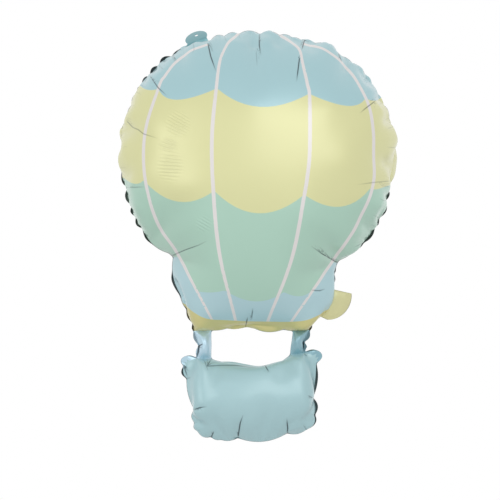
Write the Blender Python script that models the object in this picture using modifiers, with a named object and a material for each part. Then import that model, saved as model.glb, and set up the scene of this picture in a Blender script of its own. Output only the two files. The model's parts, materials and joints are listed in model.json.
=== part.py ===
# Foil party balloon in the shape of a hot air balloon, pictured inflated.
# Two films are sealed to each other round a flat rim. The front film faces -Y.
# Metres, +Z up, origin at the middle of the envelope on the plane of the seam.

import math

import bmesh
import bpy
from mathutils import Vector

# Films and seam
FILM = 0.0006
SEAM_GAP = 0.0003
FLANGE = 0.0045
TOUCH_GAP = 0.0004

# Envelope: a superellipse, squarer below the equator, with a neck under it
ENVELOPE_HALF_WIDTH = 0.206
ENVELOPE_HALF_HEIGHT = 0.183
UPPER_POWER = 2.12
LOWER_POWER = 2.27
ENVELOPE_HALF_DEPTH = 0.110
LOFT_CENTRE = Vector((0.0, -0.020))
NOTCH_Z = -0.155
LEFT_NECK_BULGE = Vector((-0.1215, -0.212))
RIGHT_NECK_BULGE = Vector((0.1105, -0.212))
NECK_CORNER = Vector((0.089, -0.2555))

# Puckers along the rim: a row of lobes with a sharp valley between each two
PUCKER_PITCH = 0.028
PUCKER_DEPTH = 0.0035
POINTS_PER_PUCKER = 3
LOBE_FULLNESS = 1.2
PUCKER_FADE = 10

# Film profiles, 1 - ratio ** power, raised to rise: crown, neck, basket and rope
CROWN_PROFILE = (2.9, 0.63)
NECK_PROFILE = (2.35, 0.84)
NECK_STARTS = 0.55
NECK_BLEND = 0.38
BASKET_PROFILE = (4.0, 0.50)
ROPE_PROFILE = (3.0, 0.556)

# Basket: a pillow that hangs, slightly tilted, from the kinks of two ropes
KINK_CENTRE = Vector((0.0016, 0.0, -0.2782))
BASKET_TILT = math.radians(3.76)
BASKET_HALF_DEPTH = 0.033
BASKET_CENTRE = Vector((-0.002, -0.080))
BASKET_OUTLINE = (
    (-0.107, -0.0140, 0.005),
    (-0.095, -0.138, 0.016),
    (0.000, -0.146, 0.060),
    (0.092, -0.134, 0.016),
    (0.100, -0.0130, 0.005),
    (0.090, -0.0130, 0.004),
    (0.084, -0.0195, 0.003),
    (0.052, -0.0195, 0.010),
    (0.010, -0.0320, 0.040),
    (-0.058, -0.0195, 0.010),
    (-0.091, -0.0195, 0.003),
    (-0.097, -0.0140, 0.004),
)

# Ropes: two short inflated struts, each pinched flat at a kink half way down
ROPE_WIDTH = 0.026
ROPE_HALF_DEPTH = 0.009
ROPE_FLANGE = 0.0025
ROPE_PLACES = {"left": -0.0755, "right": 0.069}
KINK_GAP = 0.0009
BASKET_TOP = -0.0192

# Filling tail: a flat two-film strap on the right of the neck
TAIL_PLACE = 0.56
TAIL_LENGTH = 0.0325
TAIL_HALF_WIDTH = 0.0212
TAIL_SPREAD = 0.0027
TAIL_RISE = 0.0021
TAIL_ROUND = 1.42
TAIL_ROUND_CENTRE = 0.35
TAIL_CURL = 0.008
TAIL_CLEARANCE = 0.0008

# Hanging tab: a round-headed tab with a punched hole, on the upper left rim
TAB_PLACE = math.radians(117.2)
TAB_LEAN = math.radians(57.0)
TAB_HEAD_RADIUS = 0.016
TAB_HEAD_CENTRE = Vector((0.0028, 0.0103))
TAB_ROOT = (-0.0125, 0.0150)
TAB_THICKNESS = 0.0012
TAB_HOLE_RADIUS = 0.0025
TAB_HOLE_PLACE = Vector((0.0033, 0.0146))
TAB_CLEARANCE = 0.0009

# Colours, roughness and metallic values of the satin foil
FOIL_ROUGHNESS = 0.32
FOIL_METALLIC = 0.35
COLOURS = {
    "foil_yellow": (0.76, 0.74, 0.43),
    "foil_light_blue": (0.35, 0.54, 0.57),
    "foil_blue": (0.42, 0.61, 0.65),
    "foil_tail_yellow": (0.66, 0.63, 0.34),
    "foil_tab_blue": (0.22, 0.42, 0.46),
}

FRONT = -1.0
BACK = 1.0


def clear_scene():
    """Remove every object that the file opens with."""
    for item in list(bpy.data.objects):
        bpy.data.objects.remove(item, do_unlink=True)


def make_collection(name):
    """Make one collection under the scene's own."""
    collection = bpy.data.collections.new(name)
    bpy.context.scene.collection.children.link(collection)
    return collection


def make_material(name):
    """Make one satin foil material of a named colour."""
    material = bpy.data.materials.new(name)
    material.use_nodes = True
    shader = material.node_tree.nodes["Principled BSDF"]
    shader.inputs["Base Color"].default_value = (*COLOURS[name], 1.0)
    shader.inputs["Roughness"].default_value = FOIL_ROUGHNESS
    shader.inputs["Metallic"].default_value = FOIL_METALLIC
    return material


def make_object(name, mesh, material, collection, parent=None):
    """Link one named object, shaded smooth, with its own material."""
    mesh.materials.append(material)
    mesh.shade_smooth()
    item = bpy.data.objects.new(name, mesh)
    collection.objects.link(item)
    item.parent = parent
    return item


def make_hinge(name, place, rotation, collection):
    """Make the empty that carries a moving piece, on its hinge line."""
    hinge = bpy.data.objects.new(name, None)
    hinge.empty_display_size = 0.02
    hinge.location = place
    hinge.rotation_euler = rotation
    collection.objects.link(hinge)
    return hinge


def superellipse_point(angle):
    """Give a point of the envelope's outline, at an angle from +X."""
    cosine = math.cos(angle)
    sine = math.sin(angle)
    power = UPPER_POWER if sine > 0.0 else LOWER_POWER
    x = math.copysign(abs(cosine) ** (2.0 / power), cosine)
    z = math.copysign(abs(sine) ** (2.0 / power), sine)
    return Vector((x * ENVELOPE_HALF_WIDTH, z * ENVELOPE_HALF_HEIGHT))


def notch_angle():
    """Give the angle below +X at which the envelope meets the neck."""
    level = abs(NOTCH_Z) / ENVELOPE_HALF_HEIGHT
    return math.asin(level ** (LOWER_POWER / 2.0))


def dome_curve(fraction):
    """Run over the top of the envelope from the right notch to the left one."""
    notch = notch_angle()
    return superellipse_point(-notch + fraction * (math.pi + 2.0 * notch))


def bent_line(start, middle, end, fraction):
    """Run along a quadratic curve."""
    rest = 1.0 - fraction
    return start * rest ** 2 + middle * 2.0 * rest * fraction + end * fraction ** 2


def neck_curve(fraction):
    """Run down the right side of the neck, from the notch to its corner."""
    return bent_line(superellipse_point(-notch_angle()), RIGHT_NECK_BULGE, NECK_CORNER, fraction)


def left_neck_curve(fraction):
    """Run down the left side of the neck, which bulges more."""
    corner = Vector((-NECK_CORNER.x, NECK_CORNER.y))
    return bent_line(superellipse_point(math.pi + notch_angle()), LEFT_NECK_BULGE, corner, fraction)


def bottom_curve(fraction):
    """Run along the neck's lower edge, from left to right."""
    return Vector((NECK_CORNER.x * (2.0 * fraction - 1.0), NECK_CORNER.y))


def right_neck_curve(fraction):
    """Run up the right side of the neck."""
    return neck_curve(1.0 - fraction)


def even_points(curve, pitch):
    """Sample a curve at even arc lengths, with a whole number of puckers."""
    steps = 400
    fine = [curve(i / steps) for i in range(steps + 1)]
    lengths = [0.0]
    for before, after in zip(fine, fine[1:]):
        lengths.append(lengths[-1] + (after - before).length)
    count = max(1, round(lengths[-1] / pitch)) * POINTS_PER_PUCKER
    points = []
    cursor = 0
    for i in range(count):
        target = lengths[-1] * i / count
        while lengths[cursor + 1] < target:
            cursor += 1
        span = lengths[cursor + 1] - lengths[cursor]
        points.append(fine[cursor].lerp(fine[cursor + 1], (target - lengths[cursor]) / span))
    return points


def pucker_rim(curves, pitch, depth):
    """Turn joined curves into rim columns: a point, its outward normal and its pucker inset."""
    points = []
    for curve in curves:
        points.extend(even_points(curve, pitch))
    rim = []
    for i, point in enumerate(points):
        ahead = points[(i + 1) % len(points)] - points[i - 1]
        normal = Vector((ahead.y, -ahead.x)).normalized()
        lobe = min(1.0, LOBE_FULLNESS * abs(math.sin(math.pi * i / POINTS_PER_PUCKER)))
        rim.append((point, normal, depth * (1.0 - lobe)))
    return rim


def film_height(ratio, profile):
    """Give an inflated film's height over the seam, from 1 at its middle to 0 at its rim."""
    power, rise = profile
    return max(0.0, 1.0 - ratio ** power) ** rise


def envelope_profile(toward):
    """Give the envelope's profile in one direction from its middle: flatter towards the neck."""
    share = min(1.0, max(0.0, (-toward.normalized().y - NECK_STARTS) / NECK_BLEND))
    share = share * share * (3.0 - 2.0 * share)
    return [crown + (neck - crown) * share for crown, neck in zip(CROWN_PROFILE, NECK_PROFILE)]


def film_surface(rim, centre, depth, flange, ratios, side, profile=None):
    """Loft one film's outer face from the flange's edge to the middle."""
    face_y = SEAM_GAP / 2.0 + FILM
    mesh = bmesh.new()
    rings = []
    for inset in (0.0, flange):
        ring = []
        for point, normal, valley in rim:
            place = point - normal * (inset + valley)
            ring.append(mesh.verts.new((place.x, side * face_y, place.y)))
        rings.append(ring)
    for ratio in ratios:
        ring = []
        for point, normal, valley in rim:
            seam = point - normal * flange
            height = face_y + depth * film_height(ratio, profile or envelope_profile(seam - centre))
            place = centre + (seam - centre) * ratio - normal * valley * ratio ** PUCKER_FADE
            ring.append(mesh.verts.new((place.x, side * height, place.y)))
        rings.append(ring)
    middle = mesh.verts.new((centre.x, side * (face_y + depth), centre.y))
    count = len(rim)
    for outer, inner in zip(rings, rings[1:]):
        for i in range(count):
            j = (i + 1) % count
            mesh.faces.new((outer[i], outer[j], inner[j], inner[i]))
    for i in range(count):
        mesh.faces.new((rings[-1][i], rings[-1][(i + 1) % count], middle))
    if side == BACK:
        bmesh.ops.reverse_faces(mesh, faces=mesh.faces)
    return mesh


def film_object(name, surface, material, collection, parent=None):
    """Give an open outer face the film's thickness, inwards."""
    mesh = bpy.data.meshes.new(name)
    surface.to_mesh(mesh)
    surface.free()
    item = make_object(name, mesh, material, collection, parent)
    solid = item.modifiers.new("film", "SOLIDIFY")
    solid.thickness = FILM
    solid.offset = -1.0
    return item


def keep_side(surface, level, above):
    """Cut a film at a height, and keep the stretch over or under it."""
    shift = TOUCH_GAP / 2.0 if above else -TOUCH_GAP / 2.0
    geometry = surface.verts[:] + surface.edges[:] + surface.faces[:]
    bmesh.ops.bisect_plane(
        surface,
        geom=geometry,
        dist=0.00001,
        plane_co=(0.0, 0.0, level + shift),
        plane_no=(0.0, 0.0, 1.0),
        clear_inner=above,
        clear_outer=not above,
    )
    return surface


def make_envelope(materials, collection):
    """Make the envelope and, below the notches, the tapered skirt, front and back."""
    curves = (dome_curve, left_neck_curve, bottom_curve, right_neck_curve)
    rim = pucker_rim(curves, PUCKER_PITCH, PUCKER_DEPTH)
    ratios = (0.97, 0.89, 0.75, 0.53, 0.27)
    for word, side in (("front", FRONT), ("back", BACK)):
        for name, above, colour in (
            ("envelope_" + word, True, "foil_yellow"),
            ("skirt_" + word, False, "foil_light_blue"),
        ):
            surface = film_surface(rim, LOFT_CENTRE, ENVELOPE_HALF_DEPTH, FLANGE, ratios, side)
            keep_side(surface, NOTCH_Z, above)
            film_object(name, surface, materials[colour], collection)


def corner_arc(before, corner, after, radius):
    """Round one corner of an outline with an arc, given as a few points."""
    start = (before - corner).normalized()
    end = (after - corner).normalized()
    half = 0.5 * start.angle(end)
    reach = min(radius / math.tan(half), 0.45 * min((before - corner).length, (after - corner).length))
    first = corner + start * reach
    last = corner + end * reach
    points = []
    for i in range(5):
        t = i / 4.0
        points.append(first * (1.0 - t) ** 2 + corner * 2.0 * t * (1.0 - t) + last * t ** 2)
    return points


def rounded_curve(outline):
    """Give a closed outline with rounded corners as a curve over 0 to 1."""
    corners = [Vector(entry[:2]) for entry in outline]
    points = []
    for i, corner in enumerate(corners):
        before = corners[i - 1]
        after = corners[(i + 1) % len(corners)]
        points.extend(corner_arc(before, corner, after, outline[i][2]))
    points.append(points[0])
    lengths = [0.0]
    for start, end in zip(points, points[1:]):
        lengths.append(lengths[-1] + (end - start).length)

    def curve(fraction):
        target = fraction * lengths[-1]
        for i in range(len(points) - 1):
            if target <= lengths[i + 1] or i == len(points) - 2:
                share = (target - lengths[i]) / (lengths[i + 1] - lengths[i])
                return points[i].lerp(points[i + 1], share)

    return curve


def make_basket(materials, collection, hinge):
    """Make the basket's two films, on the tilted frame of the rope kinks."""
    rim = pucker_rim((rounded_curve(BASKET_OUTLINE),), PUCKER_PITCH, PUCKER_DEPTH)
    ratios = (0.95, 0.80, 0.48)
    for word, side in (("front", FRONT), ("back", BACK)):
        surface = film_surface(rim, BASKET_CENTRE, BASKET_HALF_DEPTH, FLANGE, ratios, side, BASKET_PROFILE)
        film_object("basket_" + word, surface, materials["foil_blue"], collection, hinge)


def rope_outline(centre, low_left, low_right, top_left, top_right):
    """Give the outline of one rope half, its lower and upper ends cut to their neighbours."""
    half = ROPE_WIDTH / 2.0
    radius = 0.002
    return (
        (centre - half, low_left, radius),
        (centre + half, low_right, radius),
        (centre + half, top_right, radius),
        (centre - half, top_left, radius),
    )


def make_rope_half(name, outline, materials, collection, parent=None):
    """Make both films of one rope half as a small pillow."""
    rim = pucker_rim((rounded_curve(outline),), 0.014, 0.0)
    xs = [entry[0] for entry in outline]
    zs = [entry[1] for entry in outline]
    centre = Vector((sum(xs) / len(xs), sum(zs) / len(zs)))
    for word, side in (("front", FRONT), ("back", BACK)):
        surface = film_surface(rim, centre, ROPE_HALF_DEPTH, ROPE_FLANGE, (0.88, 0.55), side, ROPE_PROFILE)
        film_object(name + "_" + word, surface, materials["foil_blue"], collection, parent)


def kink_level(x):
    """Give the height of the kink line at a place along X."""
    return KINK_CENTRE.z + (x - KINK_CENTRE.x) * math.tan(BASKET_TILT)


def make_ropes(materials, collection, hinge):
    """Make the ropes: upper halves under the skirt, lower halves over the basket."""
    half = ROPE_WIDTH / 2.0
    top = NECK_CORNER.y - TOUCH_GAP
    for word, place in ROPE_PLACES.items():
        centre = KINK_CENTRE.x + place * math.cos(BASKET_TILT)
        low_left = kink_level(centre - half) + KINK_GAP / 2.0
        low_right = kink_level(centre + half) + KINK_GAP / 2.0
        outline = rope_outline(centre, low_left, low_right, top, top)
        make_rope_half("rope_%s_upper" % word, outline, materials, collection)
        low = BASKET_TOP + TOUCH_GAP
        outline = rope_outline(place, low, low, -KINK_GAP / 2.0, -KINK_GAP / 2.0)
        make_rope_half("rope_%s_lower" % word, outline, materials, collection, hinge)


def make_tail(materials, collection, hinge):
    """Make the filling tail's two films: a curled strap with a round end."""
    columns = 6
    rows = 6
    for word, side in (("front", FRONT), ("back", BACK)):
        surface = bmesh.new()
        bmesh.ops.create_grid(surface, x_segments=columns, y_segments=rows, size=1.0)
        for vert in surface.verts:
            out = (vert.co.x + 1.0) / 2.0
            across = vert.co.y
            round_end = math.sqrt(1.0 - ((across - TAIL_ROUND_CENTRE) / TAIL_ROUND) ** 2)
            z = across * (TAIL_HALF_WIDTH + TAIL_SPREAD * out) + TAIL_RISE * out
            y = TAIL_CURL * (out * round_end) ** 2 + side * (SEAM_GAP / 2.0 + FILM)
            x = TAIL_CLEARANCE + out * TAIL_LENGTH * round_end
            vert.co = (x, y, z)
        bmesh.ops.recalc_face_normals(surface, faces=surface.faces)
        wrong = [face for face in surface.faces if face.normal.y * side < 0.0]
        bmesh.ops.reverse_faces(surface, faces=wrong)
        film_object("tail_" + word, surface, materials["foil_tail_yellow"], collection, hinge)


def make_tab(materials, collection, cutters, hinge):
    """Make the hanging tab and punch its hole."""
    surface = bmesh.new()
    outline = [(TAB_ROOT[1], TAB_CLEARANCE)]
    start = math.radians(-34.0)
    sweep = math.pi - 2.0 * start
    steps = 20
    for i in range(steps + 1):
        angle = start + sweep * i / steps
        place = TAB_HEAD_CENTRE + TAB_HEAD_RADIUS * Vector((math.cos(angle), math.sin(angle)))
        outline.append((place.x, place.y))
    outline.append((TAB_ROOT[0], TAB_CLEARANCE))
    corners = [surface.verts.new((x, -TAB_THICKNESS / 2.0, z)) for x, z in outline]
    face = surface.faces.new(corners)
    face.normal_update()
    if face.normal.y > 0.0:
        face.normal_flip()
    mesh = bpy.data.meshes.new("hanging_tab")
    surface.to_mesh(mesh)
    surface.free()
    tab = make_object("hanging_tab", mesh, materials["foil_tab_blue"], collection, hinge)
    solid = tab.modifiers.new("film", "SOLIDIFY")
    solid.thickness = TAB_THICKNESS
    solid.offset = -1.0
    bpy.ops.mesh.primitive_cylinder_add(vertices=24, radius=TAB_HOLE_RADIUS, depth=0.02)
    punch = bpy.context.object
    punch.name = "tab_hole_cutter"
    for owner in list(punch.users_collection):
        owner.objects.unlink(punch)
    cutters.objects.link(punch)
    punch.parent = hinge
    punch.location = (TAB_HOLE_PLACE.x, 0.0, TAB_HOLE_PLACE.y)
    punch.rotation_euler = (math.pi / 2.0, 0.0, 0.0)
    punch.hide_render = True
    punch.display_type = "WIRE"
    hole = tab.modifiers.new("hole", "BOOLEAN")
    hole.operation = "DIFFERENCE"
    hole.object = punch


def tail_hinge(collection):
    """Place the tail's hinge on the neck's edge, along its tangent."""
    root = neck_curve(TAIL_PLACE)
    along = neck_curve(TAIL_PLACE - 0.01) - neck_curve(TAIL_PLACE + 0.01)
    turn = math.atan2(along.x, along.y)
    return make_hinge("tail_hinge", (root.x, 0.0, root.y), (0.0, turn, 0.0), collection)


def tab_hinge(collection):
    """Place the tab's hinge on the rim, along its tangent, leaned out of the seam plane."""
    root = superellipse_point(TAB_PLACE)
    step = math.radians(0.5)
    along = superellipse_point(TAB_PLACE - step) - superellipse_point(TAB_PLACE + step)
    turn = math.atan2(along.y, along.x)
    return make_hinge("tab_hinge", (root.x, 0.0, root.y), (-TAB_LEAN, -turn, 0.0), collection)


def build():
    """Make the whole balloon."""
    clear_scene()
    balloon = make_collection("foil_balloon")
    cutters = make_collection("cutters")
    materials = {name: make_material(name) for name in COLOURS}
    basket_hinge = make_hinge("basket_hinge", KINK_CENTRE, (0.0, -BASKET_TILT, 0.0), balloon)
    make_envelope(materials, balloon)
    make_ropes(materials, balloon, basket_hinge)
    make_basket(materials, balloon, basket_hinge)
    make_tail(materials, balloon, tail_hinge(balloon))
    make_tab(materials, balloon, cutters, tab_hinge(balloon))


build()
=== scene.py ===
# %% [markdown]
# # A foil balloon in the shape of a hot air balloon
# The real object is two flat sheets of metallised film, welded together along their edge and blown up through
# a filling tail. The printed envelope, the two thin legs that look like ropes, and the small basket are one bag
# of air. The lesson follows the way the balloon is made: the two sheets are cut flat, the air goes in, the seam
# gathers into scallops, and the ink and the satin shine come last.

# %% Load the fixed frame
import json
import math

import bpy
import numpy as np
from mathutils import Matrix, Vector
from mathutils.geometry import delaunay_2d_cdt


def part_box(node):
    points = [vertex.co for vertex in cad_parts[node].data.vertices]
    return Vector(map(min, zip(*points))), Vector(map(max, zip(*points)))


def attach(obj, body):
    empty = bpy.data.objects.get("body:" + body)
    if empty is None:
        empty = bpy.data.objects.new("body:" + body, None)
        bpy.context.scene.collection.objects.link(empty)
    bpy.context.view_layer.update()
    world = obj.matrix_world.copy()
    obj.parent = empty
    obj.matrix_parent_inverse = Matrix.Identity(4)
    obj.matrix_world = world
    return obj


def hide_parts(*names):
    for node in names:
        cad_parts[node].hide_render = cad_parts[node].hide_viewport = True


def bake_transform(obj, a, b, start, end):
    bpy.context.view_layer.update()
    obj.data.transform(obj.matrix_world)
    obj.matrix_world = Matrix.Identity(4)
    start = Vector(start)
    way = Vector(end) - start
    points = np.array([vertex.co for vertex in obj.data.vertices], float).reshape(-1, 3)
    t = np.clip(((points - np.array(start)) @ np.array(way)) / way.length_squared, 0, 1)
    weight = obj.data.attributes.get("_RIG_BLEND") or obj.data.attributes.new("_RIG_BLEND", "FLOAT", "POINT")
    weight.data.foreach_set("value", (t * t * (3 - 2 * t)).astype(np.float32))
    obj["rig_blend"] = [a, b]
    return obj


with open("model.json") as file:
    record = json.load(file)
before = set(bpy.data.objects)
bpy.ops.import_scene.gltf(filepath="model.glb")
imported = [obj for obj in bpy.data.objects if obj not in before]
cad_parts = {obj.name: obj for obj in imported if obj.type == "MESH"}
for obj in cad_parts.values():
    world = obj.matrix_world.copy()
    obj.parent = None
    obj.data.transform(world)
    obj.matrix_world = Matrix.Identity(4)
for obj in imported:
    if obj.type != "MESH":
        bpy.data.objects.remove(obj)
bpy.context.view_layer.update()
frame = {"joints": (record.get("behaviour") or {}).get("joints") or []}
bpy.ops.object.select_all(action="DESELECT")
MM = 0.001

# %% [markdown]
# A few small tools are used all through the lesson. They read and keep numbers on a mesh, and make objects.

# %% Small tools


def table(points):
    """The points as the rows of an array."""
    return np.array([tuple(p) for p in points])


def read(items, key, width=1, kind=float):
    """One property of all the items as an array, with a row for each item if the property is a vector."""
    values = np.zeros(len(items) * width, kind)
    items.foreach_get(key, values)
    return values.reshape(-1, width) if width > 1 else values


def store(mesh, name, values, kind="FLOAT", domain="POINT"):
    mesh.attributes.new(name, kind, domain).data.foreach_set("value", values)


def ring_pairs(number, start=0):
    """Each point of a closed ring with the one after it."""
    return [(start + i, start + (i + 1) % number) for i in range(number)]


def joint_frame(name):
    """Where a joint of the frame lies, and its axis."""
    joint = next(joint for joint in frame["joints"] if joint["name"] == name)
    return joint["pos_m"], joint["axis"]


def new_object(name, data):
    obj = bpy.data.objects.new(name, data)
    bpy.context.scene.collection.objects.link(obj)
    return obj


def apply_modifier(obj, modifier):
    bpy.context.view_layer.objects.active = obj
    bpy.ops.object.modifier_apply(modifier=modifier.name)


def shade_below(obj, degrees):
    """Smooth shading, but sharp where faces meet at a larger angle than this."""
    bpy.ops.object.select_all(action="DESELECT")
    obj.select_set(True)
    bpy.context.view_layer.objects.active = obj
    bpy.ops.object.shade_smooth_by_angle(angle=math.radians(degrees))


# %% [markdown]
# ## The seam as it looks when the balloon is full
# The round part is a superellipse, a little flatter than a circle. Filling the balloon pulls the edge inwards,
# and because the film can't stretch or shrink, the seam folds into scallops. They are irregular, so each one
# is given here by where its valley lies along the dome, how deep the valley is, and how far the lobe after it
# stands out, both measured from the superellipse in millimetres.

# %% The dome's curve and its scallops
envelope_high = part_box("envelope_front")[1]
NOTCH_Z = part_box("skirt_front")[1].z
UPPER_POWER = 2.12
LOWER_POWER = 2.27
NOTCH_ANGLE = math.asin((-NOTCH_Z / envelope_high.z) ** (LOWER_POWER / 2))
DOME_LOBES = (
    (0.000, 2.0, -0.6), (0.051, 2.4, -2.4), (0.084, 5.0, -4.0), (0.100, 6.2, -4.0), (0.131, 8.4, -7.4),
    (0.154, 12.0, -6.0), (0.209, 4.0, -2.4), (0.241, 5.0, -3.4), (0.256, 4.3, -1.6), (0.284, 6.2, -5.0),
    (0.297, 6.6, -2.6), (0.322, 4.2, -3.0), (0.336, 3.0, 1.3), (0.362, 2.4, -0.3), (0.388, 4.0, 3.6),
    (0.431, 4.4, -3.0), (0.450, 4.6, -2.6), (0.463, 4.0, -0.8), (0.480, 3.8, 0.5), (0.504, 4.4, 1.5),
    (0.532, 2.8, 1.3), (0.552, 2.8, 1.3), (0.575, 6.2, -5.0), (0.600, 2.4, 2.0), (0.637, 2.2, 2.6),
    (0.661, 1.2, 1.3), (0.683, 2.0, 2.8), (0.703, 0.2, 4.0), (0.716, 0.0, 3.0), (0.738, 1.0, 1.4),
    (0.760, 2.4, 3.0), (0.804, 4.0, -2.0), (0.830, 1.4, 0.2), (0.861, 6.4, -1.4), (0.891, 4.6, -0.6),
    (0.911, 2.6, 1.0), (0.933, 1.0, 4.2), (0.992, 0.5, 0.0), (1.000, 2.0, 0.0))
SPILL = 2.7


def dome_angle(share):
    return -NOTCH_ANGLE + share * (math.pi + 2 * NOTCH_ANGLE)


def spill(share):
    """How far, in mm, the filled film bulges out over its seam: most at the sides."""
    return SPILL * (0.3 + 0.7 * abs(math.cos(dome_angle(share))))


def dome(share):
    """Point of the plain superellipse, from the right notch over the top to the left one."""
    across, up = math.cos(dome_angle(share)), math.sin(dome_angle(share))
    power = UPPER_POWER if up > 0 else LOWER_POWER
    x = math.copysign(abs(across) ** (2 / power), across) * envelope_high.x
    z = math.copysign(abs(up) ** (2 / power), up) * envelope_high.z
    return Vector((x, z))


print("dome scallops:", len(DOME_LOBES) - 1)

# %% [markdown]
# Below the dome come the neck, the two legs and the basket. The basket hangs a little askew from the fold line
# across the legs, so its points are given in a frame that is turned with it. Each row is a valley of the seam,
# and the height of the lobe that follows it.

# %% Neck, legs and basket
fold_place, fold_axis = joint_frame("basket_fold")
FOLD_POINT = Vector(fold_place)
TILT = math.atan2(fold_axis[2], fold_axis[0])


def body_rows(rows):
    return [(x * MM, z * MM, bulge) for x, z, bulge in rows]


def basket_place(x, z):
    cos, sin = math.cos(TILT) * MM, math.sin(TILT) * MM
    return FOLD_POINT.x + x * cos - z * sin, FOLD_POINT.z + x * sin + z * cos


def basket_rows(rows):
    """The third number is a lobe's height, or else the points that the lobe goes through."""
    return [(*basket_place(x, z), [basket_place(*p) for p in lobe] if isinstance(lobe, list) else lobe)
            for x, z, lobe in rows]


NECK_LEFT = body_rows([(-121.5, -154.5, 6.0), (-108, -211.5, 3.0), (-98.5, -230, 2.0), (-88.5, -250.5, 0.5)])
NECK_RIGHT = body_rows([(88.5, -240, 1.0), (106.5, -227.5, 2.2), (112.3, -214, 1.0), (113.6, -188, 0.8),
                        (115, -171, 0.5), (119.5, -155.5, 0)])
SKIRT_EDGE = body_rows([(-62, -261, 1.2), (-37.5, -256.5, 0.8), (-10.7, -248.4, 8.0), (45, -255.5, 1.0),
                        (57, -257.5, 0)])
LEG_LEFT_OUTER = basket_rows([(-87.5, 21.5, 0.6), (-80.8, -0.6, 0.3), (-85, -19.5, 0)])
LEG_LEFT_INNER = basket_rows([(-63.8, -20.5, -0.3), (-62.7, 0.9, -0.3), (-62.5, 20, 0)])
LEG_RIGHT_OUTER = basket_rows([(74, -16, 0.6), (73, 0.2, 0.8), (81.5, 17.5, 0)])
LEG_RIGHT_INNER = basket_rows([(58.2, 17.2, -0.3), (54.6, -5.6, 0), (53, -18.3, 0)])
LEFT_EAR = [(-95, -15.5), (-104, -16), (-109, -21), (-107.5, -26)]
RIGHT_EAR = [(96.5, -28), (101, -22), (97.5, -15), (88.5, -12.4), (80, -14.6)]
BASKET_EDGE = basket_rows([(-85, -19.5, LEFT_EAR), (-103.6, -29.5, 3.6), (-100.6, -48.3, 3.6), (-90.6, -94.7, 4.6),
                           (-91, -113.9, 4.0), (-86.8, -126.4, 4.7), (-67.5, -135.4, 2.2), (-53, -140.1, 3.0),
                           (-28.5, -138.2, 8.8), (44.9, -133.6, 4.0), (73.7, -129, 6.0), (85.6, -107.9, 3.0),
                           (83.5, -83, 1.6), (90.8, -31.3, RIGHT_EAR), (74, -16, 0)])
BASKET_TOP = basket_rows([(53, -18.8, -0.5), (17.0, -42.5, -0.2), (-63.8, -21.5, 0)])
print("basket tilt in degrees:", round(math.degrees(TILT), 2))

# %% [markdown]
# ## The flat pattern
# Before it is filled, the film is larger than the full balloon looks from the front: the air lifts the middle
# and draws the edge in by about a fifth. So the cut sheet is the dome scaled up around its middle, with a longer
# neck, legs and basket in the same way.

# %% Cut the pattern
GATHER = 1.25
DOME_CENTRE = Vector((0, -0.020))
SEAM_STEP = 0.0045
OPEN_STEP = 0.008
LEG_TOP = -0.2925
LEG_FOOT = -0.3435
LEG_OUTSIDE = 0.0945
LEG_INSIDE = 0.0560
NECK_PULL = Vector((0.150, -0.255))
BASKET_CUT = [(-0.107, -0.3365), (-0.119, -0.3385), (-0.122, -0.370), (-0.119, -0.418), (-0.116, -0.466),
              (-0.104, -0.487), (-0.064, -0.491), (0, -0.493)]


def gathered(point):
    return DOME_CENTRE + (point - DOME_CENTRE) * GATHER


def flipped(points):
    return [(-x, z) for x, z in points]


def neck_cut():
    start, end = gathered(dome(0)), Vector((LEG_OUTSIDE, LEG_TOP))
    shares = [i / 8 for i in range(9)]
    return [tuple(start * (1 - s) ** 2 + NECK_PULL * 2 * s * (1 - s) + end * s * s) for s in shares]


leg_out = [(LEG_OUTSIDE, LEG_TOP), (LEG_OUTSIDE - 0.002, (LEG_TOP + LEG_FOOT) / 2), (LEG_OUTSIDE, LEG_FOOT)]
leg_in = [(LEG_INSIDE, LEG_TOP), (LEG_INSIDE, (LEG_TOP + LEG_FOOT) / 2), (LEG_INSIDE, LEG_FOOT)]
basket_cut = [(-LEG_OUTSIDE, LEG_FOOT)] + BASKET_CUT + flipped(BASKET_CUT[-2::-1]) + [(LEG_OUTSIDE, LEG_FOOT)]
flat_width = 2 * gathered(envelope_high.xz).x
flat_height = gathered(envelope_high.xz).y - BASKET_CUT[-1][1]
print("flat sheet in mm:", round(flat_width / MM), "wide and", round(flat_height / MM), "tall")

# %% [markdown]
# The seam is then a chain of points that know two places: on the flat sheet, and on the full balloon. Every
# scallop gets a whole number of points, so that its valleys stay sharp. The seam also sways to the front and
# to the back from lobe to lobe, which takes up the length that the scallops alone can't. There are spots where
# the welded lip shows from the front as a dark crescent, its darkness painted shade in the lip's material: each
# is a place and radius in mm, the lip's lean in degrees and its width in mm. The seam always sways backwards there.

# %% Chain of seam points
SWAY = 0.10
SWAY_LIMIT = 0.004
LIP_SHOWS = [(-140, 114, 32, 20, 5.1), (-190, -72, 30, 20, 4.6), (-164, -112, 20, 22, 4.5), (196, -62, 24, 20, 4.4),
             (172, -115, 24, 22, 4.8), (-114, -196, 16, 25, 4.2), (-94, -240, 12, 20, 3.4), (-87, -268, 12, 8, 4.2),
             (-83, -291, 12, 12, 3.2), (80, -262, 12, 5, 5.0), (76, -285, 12, 12, 4.4), (92, -332, 24, 8, 4.0),
             (86, -372, 20, 15, 4.4), (-100, -321, 10, 25, 3.4), (112, -177, 12, 20, 3.9)]


def spline(points, steps=12):
    """A smooth curve through the points, as many short straight pieces."""
    chain = [Vector(p) for p in points]
    chain = [2 * chain[0] - chain[1]] + chain + [2 * chain[-1] - chain[-2]]
    curve = []
    for i in range(1, len(chain) - 2):
        a, b, c, d = chain[i - 1:i + 3]
        for k in range(steps):
            t = k / steps
            curve.append(0.5 * (2 * b + (c - a) * t + (2 * a - 5 * b + 4 * c - d) * t ** 2
                                + (3 * b - a - 3 * c + d) * t ** 3))
    return curve + [chain[-2]]


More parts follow.
